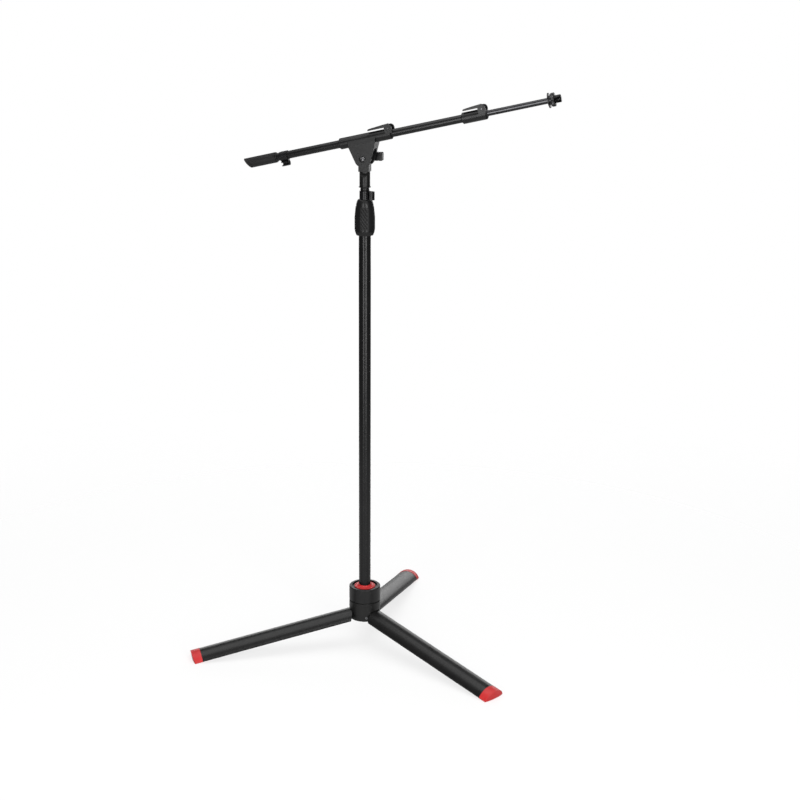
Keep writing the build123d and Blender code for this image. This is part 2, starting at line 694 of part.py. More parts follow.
# ---------------------------------------------------------------- bracket
pivot_h = -BOOM_RISE
with BuildPart() as boom_bracket:
    add(clutch_shell(BRACKET_S0, BRACKET_S1, BRACKET_CAM_S, BRACKET_LEVER_S))
    # two cheeks that narrow down to the pivot boss
    with BuildSketch(boom_side()):
        with Locations((0, pivot_h)):
            Circle(BOSS_R)
        with Locations(((SHOULDER_S0 + SHOULDER_S1) / 2, CHEEK_TOP - 1.5)):
            Rectangle(SHOULDER_S1 - SHOULDER_S0, 3.0)
        make_hull()
    extrude(amount=CHEEK_OUT, both=True)
    # shoulders that slope from the barrel out to the cheeks
    with BuildSketch(boom_across(SHOULDER_S0)):
        with BuildLine():
            Polyline(
                (SHOULDER_H0, -SHELL_R), (CHEEK_TOP, -CHEEK_OUT), (CHEEK_TOP - 3, -CHEEK_OUT),
                (CHEEK_TOP - 3, CHEEK_OUT), (CHEEK_TOP, CHEEK_OUT), (SHOULDER_H0, SHELL_R), close=True,
            )
        make_face()
    extrude(amount=SHOULDER_S1 - SHOULDER_S0)
    # seam along each side of the barrel, below its ridge
    with BuildSketch(boom_side(-SEAM_Y)):
        with Locations(((BRACKET_S0 + BRACKET_LEVER_S) / 2, SEAM_H)):
            Rectangle(BRACKET_LEVER_S - BRACKET_S0 - 6, SEAM_W)
    extrude(amount=SHELL_R, mode=Mode.SUBTRACT)
    with BuildSketch(boom_side(SEAM_Y)):
        with Locations(((BRACKET_S0 + BRACKET_LEVER_S) / 2, SEAM_H)):
            Rectangle(BRACKET_LEVER_S - BRACKET_S0 - 6, SEAM_W)
    extrude(amount=-SHELL_R, mode=Mode.SUBTRACT)
    # room for the neck's tongue
    with BuildSketch(boom_side()):
        with Locations((0, pivot_h - 15)):
            Rectangle(120, 2 * (TONGUE_R + 1.0 + 15))
    extrude(amount=CHEEK_IN, both=True, mode=Mode.SUBTRACT)
    with BuildSketch(boom_side(-CHEEK_OUT + RECESS_DEPTH)):
        with Locations((0, pivot_h)):
            Circle(RECESS_R)
    extrude(amount=10, mode=Mode.SUBTRACT)
    with BuildSketch(boom_side()):
        with Locations((0, pivot_h)):
            Circle(BOLT_R)
    extrude(amount=40, both=True, mode=Mode.SUBTRACT)
    with BuildSketch(boom_across(BRACKET_S0 - 1)):
        Circle(SLEEVE_R)
    extrude(amount=BORE_L, mode=Mode.SUBTRACT)
save(boom_bracket, "boom_bracket")

boom_ring("bracket_sleeve", BRACKET_S0 + 3, BRACKET_CAM_S - EAR_R, SLEEVE_R, BOOM_R + RUN)
boom_ring("bracket_nose", BRACKET_S0 - 0.8, BRACKET_S0 + 3, SLEEVE_R, BOOM_R + RUN)
cam_lever("bracket_lever", BRACKET_CAM_S, BRACKET_LEVER_S)
cam_pin("bracket_lever_pin", BRACKET_CAM_S)

with BuildPart() as pivot_bolt:
    head_y = CHEEK_OUT - RECESS_DEPTH
    with BuildSketch(front_side.offset(head_y)):
        Circle(HEAD_R)
    extrude(amount=HEAD_H)
    chamfer(pivot_bolt.edges().group_by(Axis.Y)[0], 0.8)
    with BuildSketch(front_side.offset(head_y + HEAD_H)):
        RegularPolygon(HEAD_R / 2, 6)
    extrude(amount=-HEAD_H / 2, mode=Mode.SUBTRACT)
    with BuildSketch(front_side.offset(head_y)):
        Circle(BOLT_R)
    extrude(amount=-(head_y + BOLT_END_Y))
save(pivot_bolt, "pivot_bolt")

with BuildPart() as pivot_washers:
    for y in (-CHEEK_IN + 0.1, TONGUE_T / 2 + GAP):
        with BuildSketch(Plane(origin=(0, y, PIVOT_Z), x_dir=(1, 0, 0), z_dir=(0, 1, 0))):
            Circle(TONGUE_R - 1)
            Circle(BOLT_R, mode=Mode.SUBTRACT)
        extrude(amount=CHEEK_IN - TONGUE_T / 2 - GAP - 0.1)
save(pivot_washers, "pivot_washers")

with BuildPart() as tilt_handle:
    with BuildSketch(front_side.offset(-HANDLE_Y0)):
        Circle(HANDLE_HUB_R)
    extrude(amount=HANDLE_Y0 - HANDLE_Y1)
    with BuildSketch(front_side.offset(-HANDLE_Y1)):
        RectangleRounded(HANDLE_BAR_L, HANDLE_BAR_H, 2.5)
    extrude(amount=HANDLE_Y1 - HANDLE_Y2)
    fillet(tilt_handle.edges().group_by(Axis.Y)[-1], 1.5)
    # a groove round the bar near each end
    with BuildSketch(front_side.offset(-HANDLE_Y1 + 1)):
        with GridLocations(HANDLE_BAR_L - 2 * HANDLE_TIP_L, HANDLE_BAR_H, 2, 2):
            Rectangle(HANDLE_GROOVE_W, HANDLE_GROOVE_W)
    extrude(amount=HANDLE_Y1 - HANDLE_Y2 - 2, mode=Mode.SUBTRACT)
    with BuildSketch(front_side.offset(HANDLE_GROOVE_W / 2 - HANDLE_Y2)):
        with GridLocations(HANDLE_BAR_L - 2 * HANDLE_TIP_L, 0, 2, 1):
            Rectangle(HANDLE_GROOVE_W, HANDLE_BAR_H)
    extrude(amount=-HANDLE_GROOVE_W, mode=Mode.SUBTRACT)
    with BuildSketch(front_side):
        Circle(BOLT_R + RUN)
    extrude(amount=-(BOLT_END_Y + 0.5), mode=Mode.SUBTRACT)
save(tilt_handle, "tilt_handle")

# ---------------------------------------------------------------- boom
boom_ring("boom_tube", BOOM_S0, BOOM_S1, BOOM_R, BOOM_R - BOOM_WALL)

with BuildPart() as boom_grip:
    with BuildSketch(boom_side()):
        with BuildLine():
            Polyline(
                (BOOM_GRIP_S0, BOOM_GRIP_R), (BOOM_GRIP_S1, BOOM_GRIP_R), (BOOM_GRIP_S1, -BOOM_GRIP_R),
                (BOOM_GRIP_S0 + BOOM_GRIP_SLANT, -BOOM_GRIP_R), close=True,
            )
        make_face()
    extrude(amount=BOOM_GRIP_R, both=True)
    with BuildSketch(boom_across(BOOM_GRIP_S0 - 5)):
        Circle(BOOM_GRIP_R)
    extrude(amount=100, mode=Mode.INTERSECT)
    with BuildSketch(boom_across(BOOM_S0)):
        Circle(BOOM_R)
    extrude(amount=100, mode=Mode.SUBTRACT)
save(boom_grip, "boom_grip")

boom_ring("boom_grip_band", BOOM_GRIP_S1, BOOM_GRIP_S1 + 2.4, BOOM_GRIP_R - 0.8, BOOM_R)

with BuildPart() as boom_clutch:
    add(clutch_shell(CLUTCH_S0, CLUTCH_S1, CLUTCH_CAM_S, CLUTCH_LEVER_S))
    with BuildSketch(boom_across(CLUTCH_S0 - 1)):
        Circle(BOOM_R)
    extrude(amount=BORE_L, mode=Mode.SUBTRACT)
save(boom_clutch, "boom_clutch")

boom_ring("boom_clutch_bush", BOOM_S1 + 0.2, CLUTCH_S1 + 0.8, BOOM_R, ARM_R + RUN)
cam_lever("boom_lever", CLUTCH_CAM_S, CLUTCH_LEVER_S)
cam_pin("boom_lever_pin", CLUTCH_CAM_S)

with BuildPart() as boom_clip:
    hook_down = Plane(
        origin=boom_foot + boom_dir * BOOM_CLIP_S, x_dir=boom_up * -1, z_dir=boom_dir
    )
    with BuildSketch(hook_down):
        clip_profile(BOOM_R, BOOM_HOOK_R)
    extrude(amount=CLIP_L)
save(boom_clip, "boom_clip")

# ---------------------------------------------------------------- arm
boom_ring("arm_tube", ARM_S0, ARM_S1, ARM_R, ARM_R - ARM_WALL)
boom_ring("arm_guide", ARM_S0, ARM_S0 + 20, BOOM_R - BOOM_WALL - RUN, ARM_R)
boom_ring("arm_flange", ARM_S1, ARM_S1 + FLANGE_T, FLANGE_R, ARM_R - ARM_WALL)

with BuildPart() as mic_stud:
    for s0, s1, radius in (
        (ARM_S1 - 15, ARM_S1 + FLANGE_T, ARM_R - ARM_WALL),
        (ARM_S1 + FLANGE_T, MIC_RING_S0 - GAP, THREAD_R + 1.4),
        (MIC_RING_S0 - GAP, MIC_RING_S0 + MIC_RING_T + 0.3, THREAD_R - THREAD_STEP),
        (MIC_RING_S0 + MIC_RING_T + 0.3, THREAD_S0, THREAD_R - 3 * THREAD_STEP),
        (THREAD_S0, THREAD_S1, THREAD_R),
    ):
        with BuildSketch(boom_across(s0)):
            Circle(radius)
        extrude(amount=s1 - s0)
    tip = mic_stud.faces().sort_by(Axis(boom_foot, boom_dir))[-1]
    chamfer(tip.edges(), 0.8)
save(mic_stud, "mic_stud")

boom_ring("mic_ring", MIC_RING_S0, MIC_RING_S0 + MIC_RING_T, MIC_RING_R, THREAD_R - THREAD_STEP + RUN)
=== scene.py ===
"""Looks of the boom microphone stand: finishes, ribbed and threaded detail, studio and camera.

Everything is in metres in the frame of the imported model. Detail pieces take their places from
the CAD nodes' own points and from the joints' axes.
"""

import json
import math

import bmesh
import bpy
from mathutils import Matrix, Vector


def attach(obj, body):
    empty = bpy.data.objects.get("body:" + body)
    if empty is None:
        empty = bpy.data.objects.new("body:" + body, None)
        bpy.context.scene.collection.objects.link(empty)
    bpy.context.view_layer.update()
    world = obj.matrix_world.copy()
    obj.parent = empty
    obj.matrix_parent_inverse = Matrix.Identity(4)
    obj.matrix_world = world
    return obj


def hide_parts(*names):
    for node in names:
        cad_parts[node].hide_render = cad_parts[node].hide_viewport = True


MM = 0.001
TAU = 2 * math.pi
TOUCH = 0.05 * MM  # points closer than this to a surface of a CAD node lie on it

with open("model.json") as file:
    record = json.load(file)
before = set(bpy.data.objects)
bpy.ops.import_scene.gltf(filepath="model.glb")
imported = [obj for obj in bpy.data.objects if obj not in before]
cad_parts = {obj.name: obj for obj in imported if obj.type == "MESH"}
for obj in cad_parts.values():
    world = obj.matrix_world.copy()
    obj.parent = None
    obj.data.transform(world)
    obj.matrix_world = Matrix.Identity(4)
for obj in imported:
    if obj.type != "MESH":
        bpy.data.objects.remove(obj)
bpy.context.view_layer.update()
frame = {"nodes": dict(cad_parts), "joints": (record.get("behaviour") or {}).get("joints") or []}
nodes = frame["nodes"]
joints = {joint["name"]: joint for joint in frame["joints"]}


# ---------------------------------------------------------------- the object's own axes
def axis_frame(origin, z_axis, x_axis):
    """Matrix of a local frame with the given origin, Z axis and X axis."""
    y_axis = z_axis.cross(x_axis)
    matrix = Matrix((x_axis, y_axis, z_axis)).transposed().to_4x4()
    matrix.translation = origin
    return matrix


def boom_axes():
    """Local frame of the boom: Z along it, X its upper side, origin beside the tilt pivot."""
    along = Vector(joints["boom_slide"]["axis"]).normalized()
    upper = Vector((-along.z, 0, along.x))
    pivot = Vector(joints["boom_tilt"]["pos_m"])
    point = Vector(joints["boom_clip_turn"]["pos_m"])
    return axis_frame(point + along * (pivot - point).dot(along), along, upper)


MAST = Matrix.Identity(4)  # the mast stands on the frame's own Z axis
BOOM = boom_axes()


def local_points(node, axes):
    """Points of a CAD node in a local frame."""
    inverse = axes.inverted()
    return [inverse @ vertex.co for vertex in nodes[node].data.vertices]


def span(node, axes):
    """Lowest and highest place of a CAD node along a frame's Z axis."""
    heights = [point.z for point in local_points(node, axes)]
    return min(heights), max(heights)


def radius(node, axes):
    """Largest distance of a CAD node from a frame's Z axis."""
    return max(math.hypot(point.x, point.y) for point in local_points(node, axes))


# ---------------------------------------------------------------- procedural finishes
def nodes_of(name):
    """A new node material with its node maker, linker and principled shader."""
    material = bpy.data.materials.new(name)
    material.use_nodes = True
    tree = material.node_tree
    return material, tree.nodes.new, tree.links.new, tree.nodes["Principled BSDF"]


def noise(make, link, place, scale, detail=3.0, rough=0.55):
    """Noise texture over the object's own coordinates, scale in features per metre."""
    texture = make("ShaderNodeTexNoise")
    texture.inputs["Scale"].default_value = scale
    texture.inputs["Detail"].default_value = detail
    texture.inputs["Roughness"].default_value = rough
    link(place, texture.inputs["Vector"])
    return texture.outputs["Fac"]


def spread(make, link, value, low, high, start=0.3, end=0.7):
    """Map a value between start and end onto low to high."""
    ramp = make("ShaderNodeMapRange")
    ramp.inputs["From Min"].default_value = start
    ramp.inputs["From Max"].default_value = end
    ramp.inputs["To Min"].default_value = low
    ramp.inputs["To Max"].default_value = high
    link(value, ramp.inputs["Value"])
    return ramp.outputs["Result"]


def tones(make, link, value, low, high, start=0.3, end=0.7):
    """Colour ramp from one tone to another."""
    ramp = make("ShaderNodeValToRGB")
    for stop, place, tone in zip(ramp.color_ramp.elements, (start, end), (low, high)):
        stop.position = place
        stop.color = (*tone, 1.0)
    link(value, ramp.inputs["Fac"])
    return ramp.outputs["Color"]


WEAR_REACH = 0.9 * MM  # edges are rubbed this far from the corner
WEAR_MATCH = (0.86, 0.985)  # agreement of the eased and plain normals: full wear, no wear
WEAR_MOST = 0.75  # share of the worn tone in the most rubbed spots
WEAR_PATCHES = (0.42, 0.66)  # texture values between which wear comes in
BROAD_SCALE = 38.0  # features per metre of the change of colour
SMUDGE_SCALE = 130.0  # features per metre of the change of gloss


def edge_mask(make, link):
    """1 where a surface turns sharply outwards or inwards close by, else 0."""
    eased = make("ShaderNodeBevel")
    eased.samples = 4
    eased.inputs["Radius"].default_value = WEAR_REACH
    plain = make("ShaderNodeNewGeometry")
    same = make("ShaderNodeVectorMath")
    same.operation = "DOT_PRODUCT"
    link(eased.outputs["Normal"], same.inputs[0])
    link(plain.outputs["Normal"], same.inputs[1])
    return spread(make, link, same.outputs["Value"], 1.0, 0.0, *WEAR_MATCH)


def finish(name, tone, drift, rough, grain, bump, worn=None, metallic=0.0, stretch=(1, 1, 1)):
    """A coated, moulded or plated surface.

    tone and drift are its two near colours, rough its mean roughness and the variation, grain the
    size of its texture in metres, bump its strength, worn the tone of rubbed edges, stretch the
    scale of its textures along each axis.
    """
    material, make, link, shader = nodes_of(name)
    where = make("ShaderNodeTexCoord").outputs["Object"]
    squeeze = make("ShaderNodeMapping")
    squeeze.inputs["Scale"].default_value = stretch
    link(where, squeeze.inputs["Vector"])
    place = squeeze.outputs["Vector"]
    fine = noise(make, link, place, 1 / grain, detail=2.0)
    broad = noise(make, link, place, BROAD_SCALE, detail=4.0, rough=0.6)
    smudge = noise(make, link, place, SMUDGE_SCALE, detail=5.0, rough=0.7)
    colour = tones(make, link, broad, tone, drift)
    if worn:
        rub = make("ShaderNodeMath")
        rub.operation = "MULTIPLY"
        link(edge_mask(make, link), rub.inputs[0])
        link(spread(make, link, smudge, 0.0, WEAR_MOST, *WEAR_PATCHES), rub.inputs[1])
        mixed = make("ShaderNodeMix")
        mixed.data_type = "RGBA"
        link(rub.outputs[0], mixed.inputs["Factor"])
        link(colour, mixed.inputs["A"])
        mixed.inputs["B"].default_value = (*worn, 1.0)
        colour = mixed.outputs["Result"]
    link(colour, shader.inputs["Base Color"])
    mean, vary = rough
    link(spread(make, link, smudge, mean - vary, mean + vary), shader.inputs["Roughness"])
    relief = make("ShaderNodeBump")
    relief.inputs["Strength"].default_value = bump
    relief.inputs["Distance"].default_value = grain * 0.25
    link(fine, relief.inputs["Height"])
    link(relief.outputs["Normal"], shader.inputs["Normal"])
    shader.inputs["Metallic"].default_value = metallic
    return material


ALONG_MAST = (1, 1, 0.06)  # squeezes the texture so that its marks run along the mast
FINISHES = {
    "black_steel": finish(
        "powder_coat", (0.008, 0.008, 0.0083), (0.012, 0.012, 0.0124), (0.26, 0.04),
        0.8 * MM, 0.09, worn=(0.03, 0.03, 0.03),
    ),
    "black_alloy": finish(
        "satin_leg_coat", (0.008, 0.008, 0.0084), (0.013, 0.0128, 0.0126), (0.3, 0.05),
        0.6 * MM, 0.2, worn=(0.04, 0.04, 0.04),
    ),
    "black_cast": finish(
        "cast_coat", (0.009, 0.009, 0.0094), (0.014, 0.0138, 0.0134), (0.33, 0.06),
        1.1 * MM, 0.35, worn=(0.05, 0.05, 0.05),
    ),
    "black_plastic": finish(
        "moulded_black", (0.01, 0.01, 0.0104), (0.015, 0.015, 0.0155), (0.33, 0.05),
        0.5 * MM, 0.2, worn=(0.035, 0.035, 0.035),
    ),
    "clip_plastic": finish(
        "smooth_clip", (0.006, 0.006, 0.0068), (0.01, 0.01, 0.011), (0.3, 0.05),
        0.7 * MM, 0.12,
    ),
    "black_rubber": finish(
        "grip_rubber", (0.01, 0.0098, 0.0103), (0.016, 0.0156, 0.0163), (0.52, 0.07),
        0.4 * MM, 0.4,
    ),
    "red_rubber": finish(
        "red_rubber", (0.8, 0.032, 0.036), (0.88, 0.05, 0.05), (0.4, 0.06),
        0.7 * MM, 0.2,
    ),
    "nylon": finish(
        "bearing_nylon", (0.03, 0.03, 0.032), (0.05, 0.05, 0.053), (0.4, 0.05),
        0.9 * MM, 0.15,
    ),
    "steel": finish(
        "zinc_plate", (0.22, 0.22, 0.23), (0.36, 0.36, 0.37), (0.34, 0.08),
        0.5 * MM, 0.2, metallic=1.0,
    ),
    "bright_steel": finish(
        "bright_plate", (0.3, 0.3, 0.31), (0.42, 0.42, 0.43), (0.18, 0.05),
        0.6 * MM, 0.08, metallic=1.0,
    ),
    "thread_steel": finish(
        "blackened_thread", (0.05, 0.05, 0.052), (0.09, 0.09, 0.092), (0.26, 0.06),
        0.4 * MM, 0.2, metallic=1.0,
    ),
    "black_chrome": finish(
        "black_chrome", (0.055, 0.055, 0.058), (0.08, 0.08, 0.083), (0.18, 0.04),
        0.5 * MM, 0.08, metallic=1.0, stretch=ALONG_MAST,
    ),
}


WELD_REACH = 0.002 * MM
FLAT_ANGLE = 0.3  # degrees between faces that count as one flat
SHARP_ANGLE = 32  # degrees between faces from which their edge is eased
EDGE_STEPS = 2
EDGE_WIDTH = {"black_steel": 0.3, "black_cast": 0.5, "red_rubber": 0.6, "black_rubber": 0.6}
USUAL_EDGE = 0.4  # millimetres, as in the table


def ease_edges(thing, width):
    """Round a CAD node's sharp edges a little, by modifiers that leave its mesh as it is."""
    weld = thing.modifiers.new("weld", "WELD")
    weld.merge_threshold = WELD_REACH
    flats = thing.modifiers.new("flats", "DECIMATE")
    flats.decimate_type = "DISSOLVE"
    flats.angle_limit = math.radians(FLAT_ANGLE)
    bevel = thing.modifiers.new("eased", "BEVEL")
    bevel.limit_method = "ANGLE"
    bevel.angle_limit = math.radians(SHARP_ANGLE)
    bevel.width = width
    bevel.segments = EDGE_STEPS
    normals = thing.modifiers.new("normals", "WEIGHTED_NORMAL")
    normals.keep_sharp = True


def dress_cad_nodes():
    """Give every CAD node its finish and eased edges."""
    for thing in nodes.values():
        slot = thing.data.materials[0].name.split(".")[0]
        thing.material_slots[0].link = "OBJECT"
        thing.material_slots[0].material = FINISHES[slot]
        ease_edges(thing, EDGE_WIDTH.get(slot, USUAL_EDGE) * MM)


# ---------------------------------------------------------------- mesh building
def skin(mesh, rings, closed=False):
    """Faces between successive rings of vertices; open ends get caps."""
    pairs = list(zip(rings, rings[1:]))
    if closed:
        pairs.append((rings[-1], rings[0]))
    for lower, upper in pairs:
        count = len(lower)
        for k in range(count):
            j = (k + 1) % count
            mesh.faces.new((lower[k], lower[j], upper[j], upper[k]))
    if not closed:
        mesh.faces.new(list(reversed(rings[0])))
        mesh.faces.new(rings[-1])


def piece(name, mesh, axes, body, slot, replaces, crease=35):
    """Finish a bmesh drawn in a local frame as a visible piece on a body.

    replaces lists the CAD nodes that it stands in for, and edges sharper than crease, in
    degrees, stay sharp.
    """
    bmesh.ops.transform(mesh, matrix=axes, verts=mesh.verts)
    bmesh.ops.recalc_face_normals(mesh, faces=mesh.faces)
    for edge in mesh.edges:
        if len(edge.link_faces) == 2 and edge.calc_face_angle() > math.radians(crease):
            edge.smooth = False
    for face in mesh.faces:
        face.smooth = True
    data = bpy.data.meshes.new(name)
    mesh.to_mesh(data)
    mesh.free()
    thing = bpy.data.objects.new(name, data)
    bpy.context.scene.collection.objects.link(thing)
    data.materials.append(FINISHES[slot])
    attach(thing, body)
    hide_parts(*replaces)


def turned(profile, segments, relief=None):
    """Bmesh of a closed outline of (radius, height) points turned about Z.

    relief(angle, height, r) may move a point of the outline in or out.
    """
    mesh = bmesh.new()
    rings = []
    for r, z in profile:
        ring = []
        for k in range(segments):
            angle = TAU * k / segments
            reach = r + (relief(angle, z, r) if relief else 0.0)
            ring.append(mesh.verts.new((reach * math.cos(angle), reach * math.sin(angle), z)))
        rings.append(ring)
    skin(mesh, rings, closed=True)
    return mesh


# ---------------------------------------------------------------- detail pieces
def swell(angle):
    """Wave between 0 and 1, highest at angle 0 and once in each turn."""
    return 0.5 + 0.5 * math.cos(angle)


def near(value, target, reach):
    """1 on the target, falling to 0 at a distance of reach."""
    return max(0.0, 1.0 - abs(value - target) / reach)


RIB_PITCH = 8.6 * MM
RIB_LEAN = math.tan(math.radians(50))
RIB_DEPTH = 1.1 * MM
RIB_FLANK = 2.4  # steepness of the grooves between the ribs
PANEL_COLUMNS, PANEL_ROWS = 30, 84
PANEL_BORDER = 1.4 * MM
PANEL_LEAST = 0.1 * MM  # least thickness left under a groove
PANEL_GAP = math.radians(20)  # panels stand further apart than this
PANEL_WIDEST = TAU / 6


def panel_ranges(points):
    """Start and end angle of each group of points around Z that stands apart from the others."""
    angles = sorted({round(math.atan2(point.y, point.x), 4) for point in points})
    befores = [angles[-1] - TAU] + angles
    starts = [angle for angle, before in zip(angles, befores) if angle - before > PANEL_GAP]
    ranges = []
    for start in starts:
        turns = [(angle - start) % TAU for angle in angles]
        reach = max(turn for turn in turns if turn < PANEL_WIDEST)
        ranges.append((start, start + reach))
    return ranges


def grip_panels():
    """Panels of the twist grip with slanting ribs inside a plain border."""
    node = "clutch_grip_pads"
    points = local_points(node, MAST)
    low, high = span(node, MAST)
    reach = {"low": [], "high": []}
    for point in points:
        for level, z in (("low", low), ("high", high)):
            if abs(point.z - z) < TOUCH:
                reach[level].append(math.hypot(point.x, point.y))
    full = max(reach["low"])
    waist = max(point.z for point in points if math.hypot(point.x, point.y) > full - TOUCH)
    mesh = bmesh.new()
    for start, end in panel_ranges(points):
        rings = []
        for row in range(PANEL_ROWS + 1):
            z = low + (high - low) * row / PANEL_ROWS
            share = max(0.0, (z - waist) / (high - waist))
            outer = full + (max(reach["high"]) - full) * share
            inner = min(reach["low"]) + (min(reach["high"]) - min(reach["low"])) * share
            front, back = [], []
            for column in range(PANEL_COLUMNS + 1):
                angle = start + (end - start) * column / PANEL_COLUMNS
                inset = min(z - low, high - z, full * (angle - start), full * (end - angle))
                wave = swell(TAU * (z + full * angle * RIB_LEAN) / RIB_PITCH)
                rib = 1.0 if inset < PANEL_BORDER else min(1.0, RIB_FLANK * wave)
                r = max(outer - RIB_DEPTH * (1.0 - rib), inner + PANEL_LEAST)
                front.append(mesh.verts.new((r * math.cos(angle), r * math.sin(angle), z)))
                back.append(mesh.verts.new((inner * math.cos(angle), inner * math.sin(angle), z)))
            rings.append(front + back[::-1])
        skin(mesh, rings)
    piece("grip_panels", mesh, MAST, "clutch_grip", "black_rubber", [node])


GROOVE_PLACES = (-68, 68)  # degrees from the boom's upper side
GROOVE_REACH = 9.0  # degrees
GROOVE_DEPTH = 0.9 * MM
GROOVE_FLANK = 1.6  # steepness of the sides; above 1 the bottom is flat
GROOVE_RUN_IN = (12 * MM, 4 * MM)  # lengths over which it deepens, from the slanted and far end
BORDER_PLACES = (3.2 * MM, 6.4 * MM)  # lines that run parallel to the slanted end
BORDER_REACH = 1.0 * MM
BORDER_STRENGTH = 0.7  # 1 for a groove; with the steep sides both still reach the full depth
TIP_REACH = 0.3 * MM  # points this close to the underside show where its slanted end starts
GRIP_SEGMENTS, GRIP_ROWS = 96, 80


def rear_grip():
    """Sleeve on the boom's tail with a slanted end, grooves along it and two border lines."""
    node = "boom_grip"
    points = local_points(node, BOOM)
    low, high = span(node, BOOM)
    outer = radius(node, BOOM)
    bore = min(math.hypot(point.x, point.y) for point in points)
    floor = min(point.z for point in points if math.hypot(point.x, point.y) < bore + TOUCH)
    lower_tip = min(point.z for point in points if point.x < -outer + TIP_REACH)
    lean = (lower_tip - low) / (2 * outer)

    mesh = bmesh.new()
    rings = []
    for row in range(GRIP_ROWS + 1):
        ring = []
        for k in range(GRIP_SEGMENTS):
            angle = TAU * k / GRIP_SEGMENTS
            end = low + lean * (outer - outer * math.cos(angle))
            z = end + (high - end) * row / GRIP_ROWS
            turn = (math.degrees(angle) + 180) % 360 - 180
            inside = min(1.0, (z - end) / GROOVE_RUN_IN[0], (high - z) / GROOVE_RUN_IN[1])
            groove = max(near(turn, place, GROOVE_REACH) for place in GROOVE_PLACES) * inside
            border = max(near(z - end, place, BORDER_REACH) for place in BORDER_PLACES)
            cut = max(groove, BORDER_STRENGTH * border)
            r = outer - GROOVE_DEPTH * min(1.0, GROOVE_FLANK * cut)
            h = r * math.cos(angle)
            if row == 0:
                z = low + lean * (outer - h)
            ring.append(mesh.verts.new((h, r * math.sin(angle), z)))
        rings.append(ring)
    for z in (high, floor):
        ring = []
        for k in range(GRIP_SEGMENTS):
            angle = TAU * k / GRIP_SEGMENTS
            ring.append(mesh.verts.new((bore * math.cos(angle), bore * math.sin(angle), z)))
        rings.append(ring)
    skin(mesh, rings)
    piece("rear_grip", mesh, BOOM, "boom", "black_rubber", [node])


THREAD_PITCH = 25.4 / 27 * MM  # 27 turns to the inch
THREAD_DEPTH = 0.5 * MM
THREAD_ROWS_PER_TURN = 6
THREAD_SEGMENTS = 72
THREAD_CREASE = 60
TIP_LENGTH = 0.8 * MM
TIP_STEP = 0.3 * MM  # the tip's end is narrower than the thread by this and TIP_LENGTH
PINHOLE = 0.3 * MM  # radius of the fine hole left along the axis


def mic_thread():
    """Adaptor stud with a helical thread from the locking ring to its chamfered tip."""
    node = "mic_stud"
    low, high = span(node, BOOM)
    ring_high = span("mic_ring", BOOM)[1]
    points = local_points(node, BOOM)
    major = max(math.hypot(p.x, p.y) for p in points if p.z > ring_high)
    shoulder = radius(node, BOOM)
    shank = min(math.hypot(p.x, p.y) for p in points if p.z < low + MM)
    face = max(p.z for p in points if math.hypot(p.x, p.y) > shoulder - TOUCH)
    seat = span("arm_flange", BOOM)[1]
    threaded = high - TIP_LENGTH - face
    profile = [(PINHOLE, low), (shank, low), (shank, seat), (shoulder, seat), (shoulder, face)]
    rows = math.ceil(threaded / THREAD_PITCH * THREAD_ROWS_PER_TURN)
    for row in range(rows + 1):
        profile.append((major - THREAD_DEPTH / 2, face + threaded * row / rows))
    profile += [(major - TIP_LENGTH - TIP_STEP, high), (PINHOLE, high)]

    def helix(angle, z, r):
        """Ridge of the thread, only on the threaded length and outside the tip's step."""
        if not face < z <= high - TIP_LENGTH or r < major - TIP_STEP:
            return 0.0
        turn = (z / THREAD_PITCH - angle / TAU) % 1.0
        return THREAD_DEPTH * (abs(2 * turn - 1) - 0.5)

    mesh = turned(profile, THREAD_SEGMENTS, helix)
    piece("mic_thread", mesh, BOOM, "arm", "thread_steel", [node], THREAD_CREASE)


KNURLS = 44
KNURL_DEPTH = 0.6 * MM
KNURL_FLANK = 1.2  # steepness of the knurls' sides
KNURL_STEPS = 6
RING_EDGE = 0.9 * MM  # size of the rounded edges
RING_EDGE_STEP = (0.3 * MM, 0.4 * RING_EDGE)  # their middle point, in from the rim and the end
KNURL_START = 1.3 * RING_EDGE  # distance of the knurls from the ring's ends


def knurled_ring():
    """Locking ring behind the thread, with straight knurls between two plain edges."""
    node = "mic_ring"
    low, high = span(node, BOOM)
    outer = radius(node, BOOM)
    bore = min(math.hypot(p.x, p.y) for p in local_points(node, BOOM))
    step_in, step_up = RING_EDGE_STEP
    rim = [
        (bore, 0.0), (outer - RING_EDGE, 0.0), (outer - step_in, step_up), (outer, RING_EDGE),
        (outer, KNURL_START),
    ]
    profile = [(r, low + z) for r, z in rim] + [(r, high - z) for r, z in reversed(rim)]

    def knurl(angle, z, r):
        """Grooves between the knurls, which start past the rounded edges."""
        if r < outer or not low + RING_EDGE < z < high - RING_EDGE:
            return 0.0
        crest = 0.5 + KNURL_FLANK * (swell(KNURLS * angle) - 0.5)
        return -KNURL_DEPTH * (1.0 - min(1.0, max(0.0, crest)))

    mesh = turned(profile, KNURLS * KNURL_STEPS, knurl)
    piece("knurled_ring", mesh, BOOM, "mic_ring", "thread_steel", [node])


FLARE_STEPS = 10
FLARE_SEGMENTS = 96
FLARE_WALL = 1.6 * MM  # at the top, round the pole
BEAD = 2.4 * MM  # height of the bead's round side, a half circle
BEAD_MIDDLE = 0.75 * BEAD  # height of that circle's middle
BEAD_FOOT = 3.2 * MM  # the bottom edge lies this far in from the rim
FLARE_START = (0.6 * MM, 1.2 * BEAD)  # in from that circle's middle, and up from the bottom


